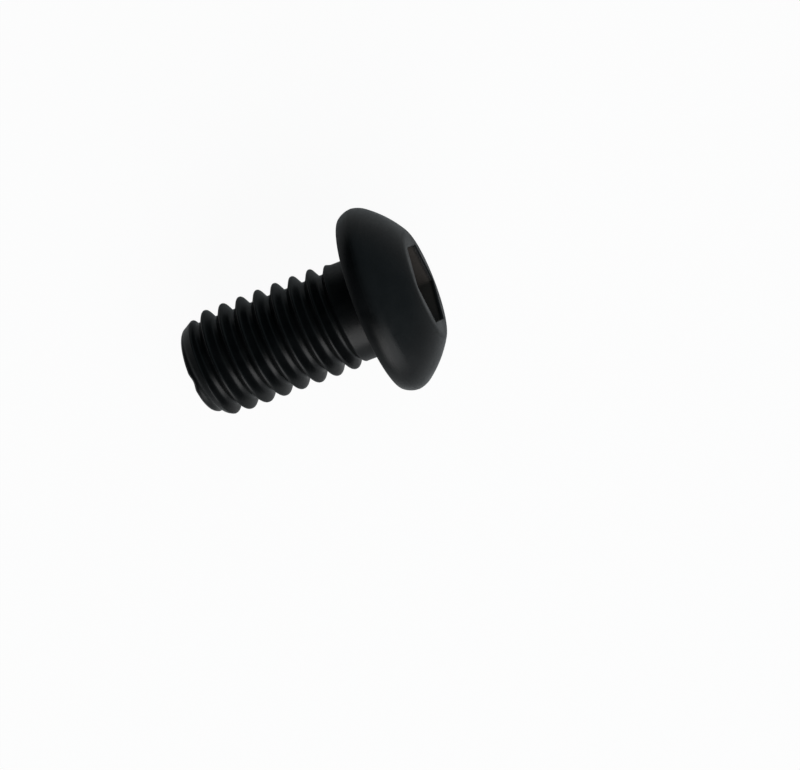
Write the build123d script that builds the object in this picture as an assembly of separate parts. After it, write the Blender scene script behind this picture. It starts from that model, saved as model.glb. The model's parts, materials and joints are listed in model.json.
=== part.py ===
from build123d import *
import os
from math import asin, atan2, ceil, cos, degrees, pi, radians, sin, sqrt, tan

# Button head socket screw, M6 x 1.0 x 10: cold-headed steel, thread rolled to the
# point, black finish.  Millimetres.  One piece, so one solid.
#
# The screw is drawn standing on its axis, with the bearing face of the head at
# height 0 and the shank below it.  It is then laid on its side, as it comes to rest:
# on the rim of the head and on a crest near the point.  +X of the drawing is the
# side that ends up underneath.

# ---- driving dimensions --------------------------------------------------------
# thread
pitch = 1.0
major_diameter = 5.70           # over the crests
thread_depth = 0.50             # crests down to the floor of the groove
flank_angle = 60.0              # between the two flanks of a groove
crest_width = 0.125             # flat left on the crest
groove_offset = 0.293           # bearing face to the first groove's centre, along +X

# shank
length = 10.00                  # bearing face to point
neck_length = 1.40              # bearing face to where the last groove opens
neck_relief = 0.19              # crests down to the plain blank
shoulder_length = 0.50          # crests rise to their full height from the neck on
runout_length = 0.25            # the groove sinks to its full depth from the neck on
underhead_bevel = 0.20          # neck to bearing face
point_length = 1.12             # bevel from the crests to the flat end
point_relief = 0.12             # groove's floor down to the edge of the flat end
point_edge = 0.15               # broken edge round the flat end

# head
head_diameter = 9.94
head_crown = 3.71               # bearing face to the top of the dome, before its flat
rim_height = 0.72               # bearing face to the widest circle
rim_bulge = 0.27                # bearing face's edge out to the widest circle
rim_crease = 8.0                # turn of the surface where the dome meets the rim
dome_shoulder_radius = 1.35     # from the crease round to the crown

# hexagon socket
key_width = 4.00                # across the flats of the key
key_clearance = 0.04
socket_depth = 2.10             # mouth to the end of the hexagon's corners
socket_floor_angle = 150.0      # cone on the end of the punch
socket_corner_radius = 0.15
socket_mouth_bevel = 0.15       # broken edge round the mouth
socket_ring = 0.54              # flat round the mouth, from the corners to the dome
socket_turn = 5.0               # one corner of the hexagon, round from +X

# ---- worked out ----------------------------------------------------------------
crest_radius = major_diameter / 2
root_radius = crest_radius - thread_depth
neck_radius = crest_radius - neck_relief
point_radius = root_radius - point_relief
bevel_start = point_length - length
head_radius = head_diameter / 2
bearing_radius = head_radius - rim_bulge
socket_corner = (key_width + key_clearance) / 2 / cos(radians(30))
flat_radius = socket_corner + socket_ring

# The rim is one arc, from the edge of the bearing face to the widest circle.
rim_radius = (rim_bulge**2 + rim_height**2) / (2 * rim_bulge)
rim_centre = head_radius - rim_radius
rim_start = -asin(rim_height / rim_radius)

# The dome's two arcs: the shoulder starts at the widest circle, leaning in by the
# crease, and the crown is a sphere on the axis that the shoulder is tangent to.
crease = radians(rim_crease)
shoulder_centre = head_radius - dome_shoulder_radius * cos(crease)
shoulder_height = rim_height - dome_shoulder_radius * sin(crease)
shoulder_drop = head_crown - shoulder_height
crown_radius = (shoulder_centre**2 + shoulder_drop**2 - dome_shoulder_radius**2) / (
    2 * (shoulder_drop - dome_shoulder_radius)
)
crown_centre = head_crown - crown_radius
shoulder_end = atan2(shoulder_height - crown_centre, shoulder_centre)
mouth = crown_centre + sqrt(crown_radius**2 - flat_radius**2)
flat_edge = atan2(mouth - crown_centre, flat_radius)

CLEAR = 0.05                    # how far a cutter stands clear of what it cuts


def around(centre_x, centre_z, radius, start, end):
    """Circular arc in the half section, between two angles in radians."""
    points = [
        (centre_x + radius * cos(angle), centre_z + radius * sin(angle))
        for angle in (start, (start + end) / 2, end)
    ]
    return ThreePointArc(*points)


def revolved(*points):
    """Solid of revolution from a half section of straight sides."""
    with BuildSketch(Plane.XZ) as section:
        with BuildLine():
            Polyline(*points, close=True)
        make_face()
    return revolve(section.sketch, axis=Axis.Z)


def blank():
    """Head, neck and shank, before the thread is rolled and the socket pressed."""
    with BuildSketch(Plane.XZ) as section:
        with BuildLine():
            Polyline(
                (flat_radius, mouth),
                (0, mouth),
                (0, -length),
                (point_radius, -length),
                (crest_radius, bevel_start),
                (crest_radius, -neck_length - shoulder_length),
                (neck_radius, -neck_length),
                (neck_radius, 0),
                (bearing_radius, 0),
            )
            around(rim_centre, rim_height, rim_radius, rim_start, 0)
            around(shoulder_centre, shoulder_height, dome_shoulder_radius, crease, shoulder_end)
            around(0, crown_centre, crown_radius, shoulder_end, flat_edge)
        make_face()
        chamfer(section.vertices().sort_by_distance((point_radius, -length))[0], point_edge)
        chamfer(section.vertices().sort_by_distance((neck_radius, 0))[0], underhead_bevel)
    return revolve(section.sketch, axis=Axis.Z)


def groove_turn():
    """Cutter for one turn of the groove, from the +X side at height 0 upwards."""
    slope = tan(radians(flank_angle / 2))
    outer = (pitch - crest_width) / 2 + CLEAR * slope
    floor = outer - (crest_radius + CLEAR - root_radius) * slope
    with BuildSketch(Plane.XZ) as section:
        with BuildLine():
            Polyline(
                (root_radius, floor),
                (crest_radius + CLEAR, outer),
                (crest_radius + CLEAR, -outer),
                (root_radius, -floor),
                close=True,
            )
        make_face()
    path = Helix(pitch=pitch, height=pitch, radius=(crest_radius + root_radius) / 2)
    return sweep(section.sketch, path=path, is_frenet=True).solid()


def groove_cutters():
    """The whole groove, turn by turn, from under the head to past the point.

    At the neck the groove grows shallow along a cone and ends."""
    slope = (neck_radius - root_radius) / runout_length
    reach = 2 * CLEAR
    runout_low = -neck_length - runout_length - reach / slope
    runout_high = -neck_length + (crest_radius - neck_radius + reach) / slope
    kept = revolved(
        (0, pitch),
        (crest_radius + reach, pitch),
        (crest_radius + reach, runout_high),
        (root_radius - reach, runout_low),
        (0, runout_low),
    )
    turn = groove_turn()
    cutters = []
    for number in range(1, ceil((length + pitch - groove_offset) / pitch) + 1):
        start = -groove_offset - number * pitch
        cutter = turn.moved(Location((0, 0, start)))
        if start + 2 * pitch > runout_low:
            cutter = (cutter - kept).solid()
        cutters.append(cutter)
    return cutters


def socket_punch():
    """Hexagon bar with a conical end, as the punch that presses the socket."""
    rise = 1 / tan(radians(socket_floor_angle / 2))
    tip = mouth - socket_depth - socket_corner * rise
    edge = socket_corner + CLEAR
    top = mouth + CLEAR
    with BuildSketch(Plane.XY.offset(tip)) as section:
        RegularPolygon(socket_corner, 6, rotation=socket_turn)
        fillet(section.vertices(), socket_corner_radius)
    bar = extrude(section.sketch, amount=top - tip)
    return bar & revolved((0, tip), (edge, tip + edge * rise), (edge, top), (0, top))


def socketed_blank():
    """The blank with its socket, whose mouth has a broken edge."""
    body = blank() - socket_punch()
    flat = body.faces().filter_by(Axis.Z).sort_by(Axis.Z)[-1]
    return chamfer(flat.inner_wires().edges(), socket_mouth_bevel)


def lowest(angle):
    """How far the rim and the thread reach down when the axis rises by this angle.

    The rim touches on its arc, the thread on the crest nearest the point."""
    rim = rim_centre * cos(angle) - rim_height * sin(angle) + rim_radius
    crests = -groove_offset - pitch / 2
    crest = crests - pitch * ((crests - bevel_start) // pitch)
    thread = crest_radius * cos(angle) - crest * sin(angle)
    return rim, thread


def resting_angle():
    """Rise of the axis towards the head, in degrees, found by halving."""
    low, high = 0.0, pi / 4
    for _ in range(50):
        middle = (low + high) / 2
        rim, thread = lowest(middle)
        if rim > thread:
            low = middle
        else:
            high = middle
    return degrees(low)


standing = (socketed_blank() - groove_cutters()).solid()
lying = standing.rotate(Axis.Y, 90 - resting_angle())
box = lying.bounding_box()
lying = lying.moved(Location((-box.center().X, 0, -box.min.Z)))

os.makedirs("parts", exist_ok=True)
export_step(lying, "parts/screw.step")
print("resting angle", round(resting_angle(), 3), "crown radius", round(crown_radius, 3))
print("faces", len(lying.faces()), "volume", round(lying.volume, 3), "box", lying.bounding_box())
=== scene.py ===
import json
from math import asin, atan2, cos, inf, pi, radians, sin, sqrt, tan

import bpy
import numpy as np
from mathutils import Matrix, Vector


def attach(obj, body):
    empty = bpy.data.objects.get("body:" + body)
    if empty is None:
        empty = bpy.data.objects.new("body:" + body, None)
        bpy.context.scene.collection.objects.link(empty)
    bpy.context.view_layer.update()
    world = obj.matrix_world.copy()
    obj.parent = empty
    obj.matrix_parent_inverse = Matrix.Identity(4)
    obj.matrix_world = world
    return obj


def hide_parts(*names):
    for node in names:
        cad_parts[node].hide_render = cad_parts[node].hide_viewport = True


# Button head socket screw, M6 x 1.0 x 10, black: one piece of cold-headed steel.
#
# The CAD node "screw" gives the place and the size.  The shown piece is the same
# screw in a finer mesh, with the soft crests, roots and edges that rolling and
# tumbling leave.  It is drawn from the same dimensions, in millimetres, standing
# on its axis with the bearing face of the head at height 0, and is then laid down.

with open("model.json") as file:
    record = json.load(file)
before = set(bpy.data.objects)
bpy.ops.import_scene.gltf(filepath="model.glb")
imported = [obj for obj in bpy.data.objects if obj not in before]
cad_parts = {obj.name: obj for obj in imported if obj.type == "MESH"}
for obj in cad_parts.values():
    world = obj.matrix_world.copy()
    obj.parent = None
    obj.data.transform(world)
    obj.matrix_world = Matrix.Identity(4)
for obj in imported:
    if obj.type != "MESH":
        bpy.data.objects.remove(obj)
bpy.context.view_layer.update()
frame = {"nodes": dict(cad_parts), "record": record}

# ---- the screw's dimensions, as in the CAD source --------------------------------
PITCH = 1.0
CREST_RADIUS = 2.85
THREAD_DEPTH = 0.50                       # crests down to the floor of the groove
FLANK_ANGLE = radians(60)                 # between the two flanks of a groove
CREST_WIDTH = 0.125
GROOVE_OFFSET = 0.293                     # bearing face to the first groove's centre
LENGTH = 10.00                            # bearing face to point
NECK_LENGTH = 1.40
NECK_RELIEF = 0.19                        # crests down to the plain neck
SHOULDER_LENGTH = 0.50                    # crests rise to their full height
RUNOUT_LENGTH = 0.25                      # the groove sinks to its full depth
UNDERHEAD = 0.20                          # neck to bearing face
POINT_LENGTH = 1.12                       # bevel from the crests to the flat end
POINT_RELIEF = 0.12                       # groove's floor down to the flat end's edge
POINT_EDGE = 0.15                         # broken edge round the flat end
HEAD_RADIUS = 4.97
HEAD_CROWN = 3.71                         # bearing face to the dome's top, before its flat
RIM_HEIGHT = 0.72                         # bearing face to the widest circle
RIM_BULGE = 0.27                          # bearing face's edge out to the widest circle
RIM_CREASE = radians(8)                   # turn of the surface where dome and rim meet
DOME_SHOULDER_RADIUS = 1.35
SOCKET_FLAT = 2.02                        # axis to a flat of the hexagon
SOCKET_DEPTH = 2.10
SOCKET_FLOOR_ANGLE = radians(150)         # cone on the end of the punch
SOCKET_CORNER_RADIUS = 0.15
SOCKET_RING = 0.54                        # flat round the mouth, from the corners out
SOCKET_TURN = radians(5)                  # one corner of the hexagon, round the axis

# ---- worked out --------------------------------------------------------------------
TURN = 2 * pi
SECTOR = radians(60)                      # of the hexagon
FLANK_SLOPE = 1 / tan(FLANK_ANGLE / 2)    # radius gained per mm along the axis
ROOT_RADIUS = CREST_RADIUS - THREAD_DEPTH
NECK_RADIUS = CREST_RADIUS - NECK_RELIEF
POINT_RADIUS = ROOT_RADIUS - POINT_RELIEF
POINT_SLOPE = (CREST_RADIUS - POINT_RADIUS) / POINT_LENGTH
BEARING_RADIUS = HEAD_RADIUS - RIM_BULGE

# the rim is one arc, and the dome is a shoulder arc and a crown centred on the axis
RIM_RADIUS = (RIM_BULGE**2 + RIM_HEIGHT**2) / (2 * RIM_BULGE)
RIM_CENTRE = HEAD_RADIUS - RIM_RADIUS
RIM_START = -asin(RIM_HEIGHT / RIM_RADIUS)
SHOULDER_CENTRE = HEAD_RADIUS - DOME_SHOULDER_RADIUS * cos(RIM_CREASE)
SHOULDER_HEIGHT = RIM_HEIGHT - DOME_SHOULDER_RADIUS * sin(RIM_CREASE)
SHOULDER_DROP = HEAD_CROWN - SHOULDER_HEIGHT
CROWN_RADIUS = (SHOULDER_CENTRE**2 + SHOULDER_DROP**2 - DOME_SHOULDER_RADIUS**2) / (
    2 * (SHOULDER_DROP - DOME_SHOULDER_RADIUS)
)
CROWN_CENTRE = HEAD_CROWN - CROWN_RADIUS
SHOULDER_END = atan2(SHOULDER_HEIGHT - CROWN_CENTRE, SHOULDER_CENTRE)

SOCKET_CORNER = SOCKET_FLAT / cos(SECTOR / 2)
FLAT_RADIUS = SOCKET_CORNER + SOCKET_RING
MOUTH = CROWN_CENTRE + sqrt(CROWN_RADIUS**2 - FLAT_RADIUS**2)
FLOOR_RISE = 1 / tan(SOCKET_FLOOR_ANGLE / 2)
FLOOR_TIP = MOUTH - SOCKET_DEPTH - SOCKET_CORNER * FLOOR_RISE

# ---- how far edges are softened ----------------------------------------------------
CREST_SOFT = 0.085
ROOT_SOFT = 0.16
BEVEL_SOFT = 0.12
NECK_SOFT = 0.06
RUNOUT_SOFT = 0.10
POINT_KNEE = 0.02                         # corner of the flat end to the knee of its bend
BEARING_SOFT = 0.06
CREASE_FLAT = 0.14                        # straight bands either side of the rim's line
FLAT_SOFT = 0.15
FLAT_BAND = 0.32                          # either side of the flat's edge, where it turns
MOUTH_EDGE = 0.13                         # rolled edge of the socket's mouth
FLOOR_SOFT = 0.10                         # fillet up the socket's wall
FLOOR_INSET = 0.09                        # and in over its floor
TIP_SOFT = 0.15                           # blunt middle of the socket's floor

# a small dint in the edge of the flat end, pressed in along the axis
DINT_DEPTH = 0.10
DINT_ANGLE = radians(197)                 # round the axis, on the upper side
DINT_WIDTH = radians(15)                  # from its middle to either end
DINT_REACH = 0.55                         # how far it goes up the point and into the flat end

INSIDE = 0.9985                           # keeps the finer mesh a hair inside the CAD box
COLUMNS = 240                             # round the axis; a multiple of 12
MM = 0.001


# ---- profiles ----------------------------------------------------------------------
def lesser(a, b, soft):
    """The lesser of two, rounded where they cross."""
    near = np.maximum(soft - np.abs(a - b), 0) / soft
    return np.minimum(a, b) - near * near * soft / 4


def greater(a, b, soft):
    """The greater of two, rounded where they cross."""
    return -lesser(-a, -b, soft)


def straight(start, end, shares):
    """Places on a straight line, at shares of the way along it."""
    start = np.array(start)
    return start + np.outer(shares, np.array(end) - start)


def arc(centre, radius, angles):
    return np.array(centre) + radius * np.column_stack([np.cos(angles), np.sin(angles)])


def bend(start, knee, end, count):
    """Places round a soft corner, which leaves and arrives in line with its knee."""
    t = np.linspace(0, 1, count)[:, None]
    start, knee, end = np.array(start), np.array(knee), np.array(end)
    return (1 - t) ** 2 * start + 2 * t * (1 - t) * knee + t * t * end


def blank_radius(z):
    """The screw before its thread is rolled, from the point to the bearing face."""
    cone = POINT_RADIUS + (z + LENGTH) * POINT_SLOPE
    shoulder = NECK_RADIUS - (z + NECK_LENGTH) * NECK_RELIEF / SHOULDER_LENGTH
    neck = greater(shoulder, NECK_RADIUS, NECK_SOFT)
    return lesser(lesser(CREST_RADIUS, cone, BEVEL_SOFT), neck, NECK_SOFT)


def shank_radius(angle, z):
    """Radius of the threaded shank at an angle round the axis and a height."""
    turns = (z + GROOVE_OFFSET) / PITCH - angle / TURN
    from_groove = np.abs(turns - np.round(turns)) * PITCH
    flank = CREST_RADIUS - ((PITCH - CREST_WIDTH) / 2 - from_groove) * FLANK_SLOPE
    groove = greater(flank, ROOT_RADIUS, ROOT_SOFT)
    runout = NECK_RADIUS + (z + NECK_LENGTH) * (NECK_RADIUS - ROOT_RADIUS) / RUNOUT_LENGTH
    groove = greater(groove, runout, RUNOUT_SOFT)
    return lesser(blank_radius(z), groove, CREST_SOFT)


def crown_height(reach):
    """Height of the crown at a distance from the axis: a sphere cut off by the flat."""
    sphere = CROWN_CENTRE + np.sqrt(CROWN_RADIUS**2 - reach**2)
    return lesser(sphere, MOUTH, FLAT_SOFT)


def floor_height(reach):
    """Height of the socket's floor at a distance from the axis."""
    return FLOOR_TIP + reach * FLOOR_RISE


def hexagon(offset):
    """The socket's outline, one place a column, moved outwards by an offset."""
    half = COLUMNS // 12                  # columns from a corner to the middle of a flat
    on_corner = 4                         # of which on the rounded corner
    on_flat = half - on_corner
    centre = (SOCKET_FLAT - SOCKET_CORNER_RADIUS) / cos(SECTOR / 2)
    corner_angles = np.linspace(0, SECTOR / 2, on_corner + 1)
    corner = arc((centre, 0), SOCKET_CORNER_RADIUS + offset, corner_angles)
    middle = arc((0, 0), SOCKET_FLAT + offset, [SECTOR / 2])[0]
    side = np.vstack([corner, straight(corner[-1], middle, np.arange(1, on_flat + 1) / on_flat)])
    mirrored = side[-2:0:-1] * (1, -1)
    places = []
    for sector in range(6):
        for part, corners in ((side, sector), (mirrored, sector + 1)):
            turn = SOCKET_TURN + corners * SECTOR
            places.append(part @ [(cos(turn), sin(turn)), (-sin(turn), cos(turn))])
    return np.vstack(places)


# ---- the mesh ----------------------------------------------------------------------
column_angles = SOCKET_TURN + np.arange(COLUMNS) * TURN / COLUMNS
circle = arc((0, 0), 1, column_angles)


def from_axis(xy):
    return np.linalg.norm(xy, axis=1)


def ring(xy, z):
    """One place a column, at one height or at a height for each."""
    return np.column_stack([xy, np.broadcast_to(z, COLUMNS)])


def round_rings(profile):
    return [ring(circle * radius, z) for radius, z in profile]


class Skin:
    """A closed mesh gathered ring by ring."""

    def __init__(self):
        self.points = []
        self.faces = []
        self.count = 0

    def add(self, points):
        """Takes in points and returns their numbers."""
        first = self.count
        self.points.append(points)
        self.count += len(points)
        return list(range(first, self.count))

    def bridge(self, lower, upper):
        """Joins two rings, the upper one nearer the socket."""
        for i in range(COLUMNS):
            j = (i + 1) % COLUMNS
            self.faces.append((lower[i], lower[j], upper[j], upper[i]))

    def grow_up(self, edge, rings):
        """Joins rings one after another to an edge, towards the socket.  Returns the last."""
        for points in rings:
            row = self.add(points)
            self.bridge(edge, row)
            edge = row
        return edge

    def grow_down(self, edge, rings):
        """The same towards the point."""
        for points in rings:
            row = self.add(points)
            self.bridge(row, edge)
            edge = row
        return edge

    def cap(self, edge, height):
        """Closes an edge with a fan from a place on the axis."""
        middle = self.add(np.array([[0, 0, height]]))[0]
        for i in range(COLUMNS):
            self.faces.append((edge[i], edge[(i + 1) % COLUMNS], middle))

    def zip_columns(self, column, rows, other, other_rows):
        """Joins two columns of the thread by the numbers of their rows."""
        a = b = 0
        while a < len(column) - 1:
            row, other_row = rows[a + 1], other_rows[b + 1]
            if row == other_row:
                self.faces.append((column[a], other[b], other[b + 1], column[a + 1]))
                a += 1
                b += 1
            elif row < other_row:
                self.faces.append((column[a], other[b], column[a + 1]))
                a += 1
            else:
                self.faces.append((column[a], other[b], other[b + 1]))
                b += 1


def add_thread(skin, bottom, top):
    """The helical rows between two level rings.  Returns the two rings.

    Each row follows the thread, so crests and roots stay sharp along the helix."""
    # rows from the groove's middle to the crest's, as shares of the pitch
    half = np.array([0.05, 0.10, 0.14, 0.18, 0.23, 0.29, 0.345, 0.385, 0.415, 0.44, 0.465])
    offsets = np.concatenate([[0], half, [0.5], 1 - half[::-1]]) * PITCH
    rows_a_turn = len(offsets)
    clear = 0.012                         # least distance of a row from a level ring
    columns = []
    for angle in column_angles:
        base = -GROOVE_OFFSET + PITCH * angle / TURN
        first = int((bottom - base) // PITCH) - 1
        last = int((top - base) // PITCH) + 2
        heights, rows = [bottom], [-inf]
        for turn in range(first, last):
            for number, offset in enumerate(offsets):
                z = base + turn * PITCH + offset
                if bottom + clear < z < top - clear:
                    heights.append(z)
                    rows.append(turn * rows_a_turn + number)
        heights = np.array([*heights, top])
        radius = shank_radius(angle, heights)
        points = np.column_stack([radius * cos(angle), radius * sin(angle), heights])
        columns.append((skin.add(points), np.array([*rows, inf])))
    for (column, rows), (other, other_rows) in zip(columns, columns[1:]):
        skin.zip_columns(column, rows, other, other_rows)
    # once round, the first column's rows count as those of the turn before
    (column, rows), (other, other_rows) = columns[-1], columns[0]
    skin.zip_columns(column, rows, other, other_rows - rows_a_turn)
    return [column[0] for column, _ in columns], [column[-1] for column, _ in columns]


def add_point(skin, edge):
    """The broken edge and the flat end, from the thread down."""
    flat = POINT_RADIUS - POINT_EDGE
    start = (POINT_RADIUS + POINT_EDGE * POINT_SLOPE, -LENGTH + POINT_EDGE)
    knee = (POINT_RADIUS - POINT_KNEE, -LENGTH + POINT_KNEE)
    profile = np.vstack([
        bend(start, knee, (flat, -LENGTH), 9),
        straight((flat, -LENGTH), (0, -LENGTH), (0.015, 0.05, 0.1, 0.25, 0.5, 0.75, 0.92)),
    ])
    edge = skin.grow_down(edge, round_rings(profile))
    skin.cap(edge[::-1], -LENGTH)


def add_head(skin, edge, neck_start):
    """Neck, fillet, bearing face, rim and dome.  Returns the last ring and its radius."""
    inner = NECK_RADIUS + UNDERHEAD
    outer = BEARING_RADIUS - BEARING_SOFT
    rim_angles = np.linspace(RIM_START + BEARING_SOFT / RIM_RADIUS, -CREASE_FLAT / RIM_RADIUS, 13)
    rim = arc((RIM_CENTRE, RIM_HEIGHT), RIM_RADIUS, rim_angles)
    line = (HEAD_RADIUS, RIM_HEIGHT)      # pressed between rim and dome
    shoulder_start = RIM_CREASE + CREASE_FLAT / DOME_SHOULDER_RADIUS
    shoulder_angles = np.linspace(shoulder_start, SHOULDER_END, 21)
    shoulder = arc((SHOULDER_CENTRE, SHOULDER_HEIGHT), DOME_SHOULDER_RADIUS, shoulder_angles)
    # the rows lie closer either side of the flat's edge
    reaches = np.linspace(FLAT_RADIUS + FLAT_BAND, FLAT_RADIUS - FLAT_BAND, 19)
    reaches = np.concatenate([np.linspace(shoulder[-1][0], reaches[0], 12)[1:-1], reaches])
    profile = np.vstack([
        straight((NECK_RADIUS, neck_start), (NECK_RADIUS, -UNDERHEAD), np.arange(1, 7) / 7),
        arc((inner, -UNDERHEAD), UNDERHEAD, np.linspace(pi, pi / 2, 9)),
        straight((inner, 0), (outer, 0), (0.02, 0.08, 0.25, 0.5, 0.75, 0.92, 0.98)),
        bend((outer, 0), (BEARING_RADIUS, 0), rim[0], 7)[:-1],
        rim,
        straight(rim[-1], line, (0.15, 0.85, 1)),
        straight(line, shoulder[0], (0.15, 0.85, 1)),
        shoulder[1:],
        np.column_stack([reaches, crown_height(reaches)]),
    ])
    return skin.grow_up(edge, round_rings(profile)), reaches[-1]


def flat_rings(start):
    """Round the mouth, from a circle to just outside the hexagon's rolled edge."""
    outside = 1.02
    outline = hexagon(MOUTH_EDGE * outside)
    reach = from_axis(outline)[:, None]
    for t in np.linspace(0, 1, 7)[1:]:
        share = t * t * (3 - 2 * t)
        xy = circle * (start * (1 - t) + reach * t) * (1 - share) + outline * share
        yield ring(xy, crown_height(from_axis(xy)))


def socket_rings():
    """The rolled edge of the mouth, the walls, and the punched floor."""
    for angle in np.linspace(0, pi / 2, 8):
        xy = hexagon(MOUTH_EDGE * (1 - sin(angle)))
        yield ring(xy, MOUTH - MOUTH_EDGE * (1 - cos(angle)))
    wall = hexagon(0)
    top = MOUTH - MOUTH_EDGE
    foot = floor_height(from_axis(wall)) + FLOOR_SOFT
    for share in (0.04, 0.15, 0.35, 0.6, 0.85, 0.96, 1):
        yield ring(wall, top + (foot - top) * share)
    for angle in np.linspace(0, pi / 2, 6)[1:]:
        xy = hexagon(-FLOOR_INSET * (1 - cos(angle)))
        yield ring(xy, floor_height(from_axis(xy)) + FLOOR_SOFT * (1 - sin(angle)))
    # the hexagon turns into a circle towards the middle of the floor
    base = hexagon(-FLOOR_INSET)
    mean_reach = from_axis(base).mean()
    for share in (0.93, 0.8, 0.6, 0.4, 0.22, 0.1, 0.04):
        xy = share * (base * share + circle * mean_reach * (1 - share))
        yield ring(xy, floor_height(np.hypot(from_axis(xy), TIP_SOFT)))


def dinted(points):
    """The points with those near the dint moved up the axis."""
    around = np.abs(np.arctan2(points[:, 1], points[:, 0]) % TURN - DINT_ANGLE) / DINT_WIDTH
    above = (points[:, 2] + LENGTH) / DINT_REACH
    within = (POINT_RADIUS - from_axis(points[:, :2])) / DINT_REACH
    share = 1.0
    for distance in (around, above, within):
        share = share * (1 + np.cos(pi * np.clip(distance, 0, 1))) / 2
    return points + DINT_DEPTH * share[:, None] * np.array([0, 0, 1])


def mount(name):
    return next(m for m in frame["record"]["mounts"] if m["name"] == name)


def laid_down(points):
    """From the drawing, standing on its axis, to the screw as it lies, in metres."""
    seat = mount("seat")                  # the middle of the bearing face
    axis = -np.array(seat["axis"])
    side = np.array([0, 1, 0])
    underside = np.cross(side, axis)
    return points @ [underside, side, axis] * INSIDE * MM + seat["pos_m"]


def build_screw():
    skin = Skin()
    above_edge = 0.04                     # from the point's broken edge
    into_neck = 0.12                      # past the end of the groove
    thread_start = -LENGTH + POINT_EDGE + above_edge
    thread_end = -NECK_LENGTH + into_neck
    low_edge, high_edge = add_thread(skin, thread_start, thread_end)
    add_point(skin, low_edge)
    edge, reach = add_head(skin, high_edge, thread_end)
    edge = skin.grow_up(edge, flat_rings(reach))
    edge = skin.grow_up(edge, socket_rings())
    skin.cap(edge, floor_height(TIP_SOFT))

    points = laid_down(dinted(np.vstack(skin.points)))
    mesh = bpy.data.meshes.new("screw_surface")
    mesh.from_pydata(points.tolist(), [], skin.faces)
    mesh.polygons.foreach_set("use_smooth", [True] * len(mesh.polygons))
    mesh.update()
    made = bpy.data.objects.new("screw_surface", mesh)
    bpy.context.scene.collection.objects.link(made)
    return made


screw = build_screw()
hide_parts("screw")


# ---- finish ------------------------------------------------------------------------
class Nodes:
    """Short names for building a node tree.  A value is a number, a vector or a link."""

    def __init__(self, tree):
        self.tree = tree
        tree.nodes.clear()

    def node(self, kind, **settings):
        made = self.tree.nodes.new(kind)
        for key, value in settings.items():
            setattr(made, key, value)
        return made

    def put(self, value, socket):
        if isinstance(value, bpy.types.NodeSocket):
            self.tree.links.new(value, socket)
        else:
            socket.default_value = value

    def fill(self, made, **values):
        """Puts values into a node's inputs of these names, with _ for a space."""
        for name, value in values.items():
            self.put(value, made.inputs[name.replace("_", " ")])
        return made

    def noise(self, place, scale, detail, roughness):
        made = self.node("ShaderNodeTexNoise")
        self.fill(made, Vector=place, Scale=scale, Detail=detail, Roughness=roughness)
        return made.outputs["Fac"]

    def ramp(self, value, low_in, high_in, low_out, high_out):
        made = self.node("ShaderNodeMapRange", interpolation_type="SMOOTHSTEP")
        self.fill(made, Value=value, From_Min=low_in, From_Max=high_in)
        self.fill(made, To_Min=low_out, To_Max=high_out)
        return made.outputs["Result"]

    def operate(self, kind, operation, a, b):
        made = self.node(kind, operation=operation)
        self.put(a, made.inputs[0])
        self.put(b, made.inputs[1])
        return made.outputs

    def math(self, operation, a, b):
        return self.operate("ShaderNodeMath", operation, a, b)["Value"]

    def vector(self, operation, a, b):
        return self.operate("ShaderNodeVectorMath", operation, a, b)["Vector"]

    def dot(self, a, b):
        return self.operate("ShaderNodeVectorMath", "DOT_PRODUCT", a, b)["Value"]

    def mix(self, a, b, share):
        """Colour a where the share is 0, colour b where it is 1."""
        made = self.node("ShaderNodeMix", data_type="RGBA")
        for name, value in (("A", a), ("B", b), ("Factor", share)):
            self.put(value, next(s for s in made.inputs if s.name == name and s.enabled))
        return next(s for s in made.outputs if s.enabled)

    def mix_shaders(self, a, b, share):
        """Shader a where the share is 0, shader b where it is 1."""
        made = self.node("ShaderNodeMixShader")
        for number, value in enumerate((share, a, b)):
            self.put(value, made.inputs[number])
        return made.outputs["Shader"]


def from_mouth(n, place):
    """Distance out of the socket's mouth along the axis, and from the axis, squared."""
    mouth = mount("hex_socket")
    apart = n.vector("SUBTRACT", place, mouth["pos_m"])
    along = n.dot(apart, mouth["axis"])
    squared = n.math("SUBTRACT", n.dot(apart, apart), n.math("MULTIPLY", along, along))
    return along, squared


def in_socket(n, along, squared):
    """1 on the browner, punched walls of the socket, 0 on its floor and elsewhere."""
    fade = 0.4                            # up the wall from its foot
    in_the_metal = SOCKET_CORNER + 0.26   # past every wall, and short of other surfaces
    below_mouth = n.ramp(along, -0.3 * MM, -0.1 * MM, 1.0, 0.0)
    above_floor = n.ramp(along, -SOCKET_DEPTH * MM, (fade - SOCKET_DEPTH) * MM, 0.0, 1.0)
    within_wall = n.math("LESS_THAN", squared, (in_the_metal * MM) ** 2)
    return n.math("MULTIPLY", within_wall, n.math("MULTIPLY", below_mouth, above_floor))


def on_ring(n, along, squared):
    """1 on the flat ring round the mouth, fading to 0 over the edge of the dome."""
    level_with_mouth = n.ramp(along, -0.2 * MM, -0.05 * MM, 0.0, 1.0)
    flat, dome = FLAT_RADIUS * MM, (FLAT_RADIUS + FLAT_BAND) * MM
    within_dome = n.ramp(squared, flat**2, dome**2, 1.0, 0.0)
    return n.math("MULTIPLY", level_with_mouth, within_dome)


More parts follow.
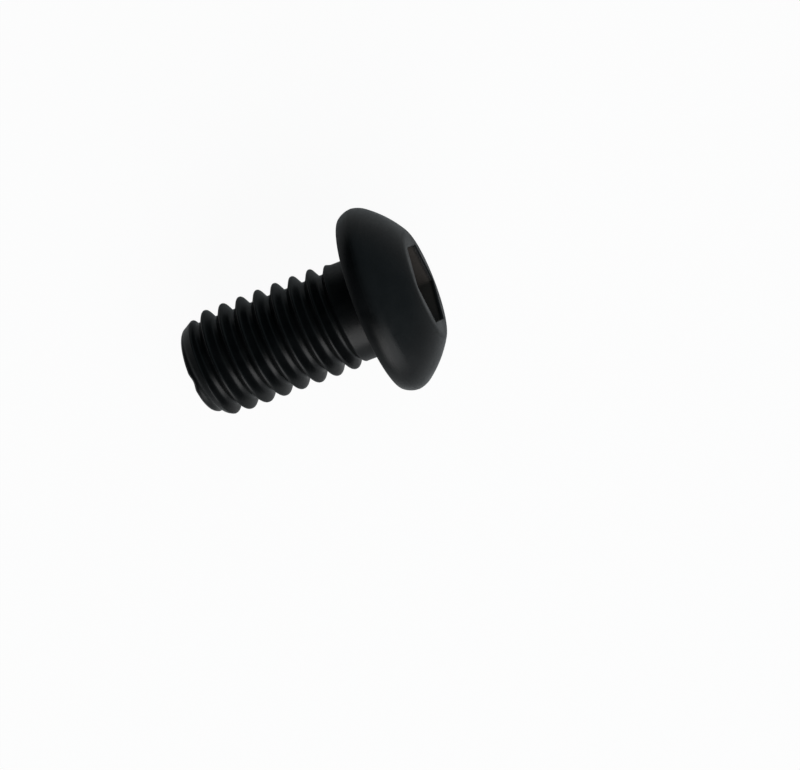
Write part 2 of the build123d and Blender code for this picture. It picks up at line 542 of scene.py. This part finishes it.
def black_oxide():
    """Satin black oxide on steel: near black, oiled, with a fine grain."""
    material = bpy.data.materials.new("black_oxide_steel")
    material.use_nodes = True
    n = Nodes(material.node_tree)
    place = n.node("ShaderNodeTexCoord").outputs["Object"]
    place_mm = n.vector("DIVIDE", place, (MM, MM, MM))
    patches = n.noise(place_mm, 0.9, 3.0, 0.6)    # uneven oil and oxide
    grain = n.noise(place_mm, 14.0, 4.0, 0.65)    # blasted and tumbled surface
    along, squared = from_mouth(n, place)

    black = n.mix((0.0013, 0.0016, 0.0018, 1), (0.0026, 0.0030, 0.0032, 1),
                  n.ramp(patches, 0.35, 0.68, 0.0, 1.0))
    punched = (0.034, 0.029, 0.026, 1)
    roughness = n.math("ADD", n.ramp(patches, 0.3, 0.7, 0.33, 0.40),
                       n.ramp(grain, 0.3, 0.7, -0.03, 0.03))
    bump = n.fill(n.node("ShaderNodeBump"), Strength=0.35, Distance=0.012 * MM, Height=grain)
    shader = n.fill(
        n.node("ShaderNodeBsdfPrincipled"),
        Base_Color=n.mix(black, punched, in_socket(n, along, squared)),
        Roughness=roughness,
        Specular_IOR_Level=n.ramp(on_ring(n, along, squared), 0.0, 1.0, 0.105, 0.05),
        Normal=bump.outputs["Normal"],
    )
    n.fill(n.node("ShaderNodeOutputMaterial"), Surface=shader.outputs["BSDF"])
    return material


finish = black_oxide()
screw.data.materials.append(finish)
# the CAD node carries the same finish as the piece that stands for it
for node in frame["nodes"].values():
    node.data.materials.clear()
    node.data.materials.append(finish)
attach(screw, "root")


# ---- floor, in metres ----------------------------------------------------------------
FLOOR_SIZE = 0.8


def seen_white(n, direct, reflected):
    """How much of a background is its own white, for a ray from the camera or through
    glass and for a reflection.  A reflection is mostly of what lies near the screw and
    in its shade, so more of the real light stays in it."""
    path = n.node("ShaderNodeLightPath").outputs
    seen = n.math("MAXIMUM", path["Is Camera Ray"], path["Is Transmission Ray"])
    mirrored = n.math("MULTIPLY", path["Is Glossy Ray"], reflected)
    return n.math("MAXIMUM", n.math("MULTIPLY", seen, direct), mirrored)


def white_paper():
    """What is seen of the paper is mostly its own white, and the rest takes the shadow."""
    material = bpy.data.materials.new("white_paper")
    material.use_nodes = True
    n = Nodes(material.node_tree)
    paper = n.fill(n.node("ShaderNodeBsdfDiffuse"), Color=(0.60, 0.60, 0.60, 1))
    white = n.fill(n.node("ShaderNodeEmission"), Color=(1, 1, 1, 1), Strength=1.0)
    both = n.mix_shaders(paper.outputs["BSDF"], white.outputs["Emission"],
                         seen_white(n, 0.95, 0.13))
    n.fill(n.node("ShaderNodeOutputMaterial"), Surface=both)
    return material


bpy.ops.mesh.primitive_plane_add(size=FLOOR_SIZE, location=(0, 0, 0))
floor = bpy.context.object
floor.name = "floor"
floor.data.materials.append(white_paper())

# ---- camera, in millimetres ----------------------------------------------------------
# It looks almost straight down, with east at the right of its view and north at the top.
ELEVATION = radians(87.5)
HEADING = radians(20.1)
DISTANCE = 116.0
VIEW_WIDTH = 41.237                       # across the view at the screw
VIEW_EAST = 1.386                         # from the bearing face to the view's middle
VIEW_SOUTH = 4.197
SENSOR_WIDTH = 36.0

up = Vector((0, 0, 1))
east = Vector((cos(HEADING), -sin(HEADING), 0))
level = Vector((sin(HEADING), cos(HEADING), 0))
north = level * sin(ELEVATION) + up * cos(ELEVATION)
back = level * -cos(ELEVATION) + up * sin(ELEVATION)


def place_camera():
    data = bpy.data.cameras.new("camera")
    data.sensor_width = SENSOR_WIDTH
    data.lens = SENSOR_WIDTH * DISTANCE / VIEW_WIDTH
    data.clip_start = 0.01
    data.clip_end = 10.0
    camera = bpy.data.objects.new("camera", data)
    from_seat = east * VIEW_EAST - north * VIEW_SOUTH + back * DISTANCE
    place = Vector(mount("seat")["pos_m"]) + from_seat * MM
    turn = Matrix((east, north, back)).transposed()
    camera.matrix_world = Matrix.Translation(place) @ turn.to_4x4()
    bpy.context.scene.collection.objects.link(camera)
    bpy.context.scene.camera = camera


place_camera()


# ---- light, in metres and watts ------------------------------------------------------
LAMP_DISTANCE = 0.55


def towards(azimuth, elevation):
    """Direction in degrees: round from the view's east, then up from the floor."""
    flat = east * cos(radians(azimuth)) + level * sin(radians(azimuth))
    return flat * cos(radians(elevation)) + up * sin(radians(elevation))


def soft_box(name, direction, width, height, power):
    """Area light that faces the screw from a direction."""
    data = bpy.data.lights.new(name, "AREA")
    data.shape = "RECTANGLE"
    data.size = width
    data.size_y = height
    data.energy = power
    light = bpy.data.objects.new(name, data)
    light.location = direction * LAMP_DISTANCE
    light.rotation_mode = "QUATERNION"
    light.rotation_quaternion = direction.to_track_quat("Z", "Y")
    bpy.context.scene.collection.objects.link(light)


def room():
    """A cool room, pale on the head's side of the screw and dark on the point's."""
    world = bpy.data.worlds.new("room")
    world.use_nodes = True
    bpy.context.scene.world = world
    n = Nodes(world.node_tree)
    direction = n.node("ShaderNodeTexCoord").outputs["Generated"]
    to_head_side = n.dot(direction, towards(21, 0))
    walls = n.fill(n.node("ShaderNodeBackground"), Color=(0.74, 0.92, 1.0, 1),
                   Strength=n.ramp(to_head_side, 0.02, 0.22, 0.05, 0.70))
    white = n.fill(n.node("ShaderNodeBackground"), Color=(1, 1, 1, 1), Strength=1.0)
    both = n.mix_shaders(walls.outputs["Background"], white.outputs["Background"],
                         seen_white(n, 1.0, 0.0))
    n.fill(n.node("ShaderNodeOutputWorld"), Surface=both)


soft_box("window", towards(-88, 21), width=0.34, height=0.42, power=3.0)
soft_box("side_window", towards(-52, 26), width=0.40, height=0.50, power=2.6)
room()

bpy.context.scene.view_settings.view_transform = "Standard"
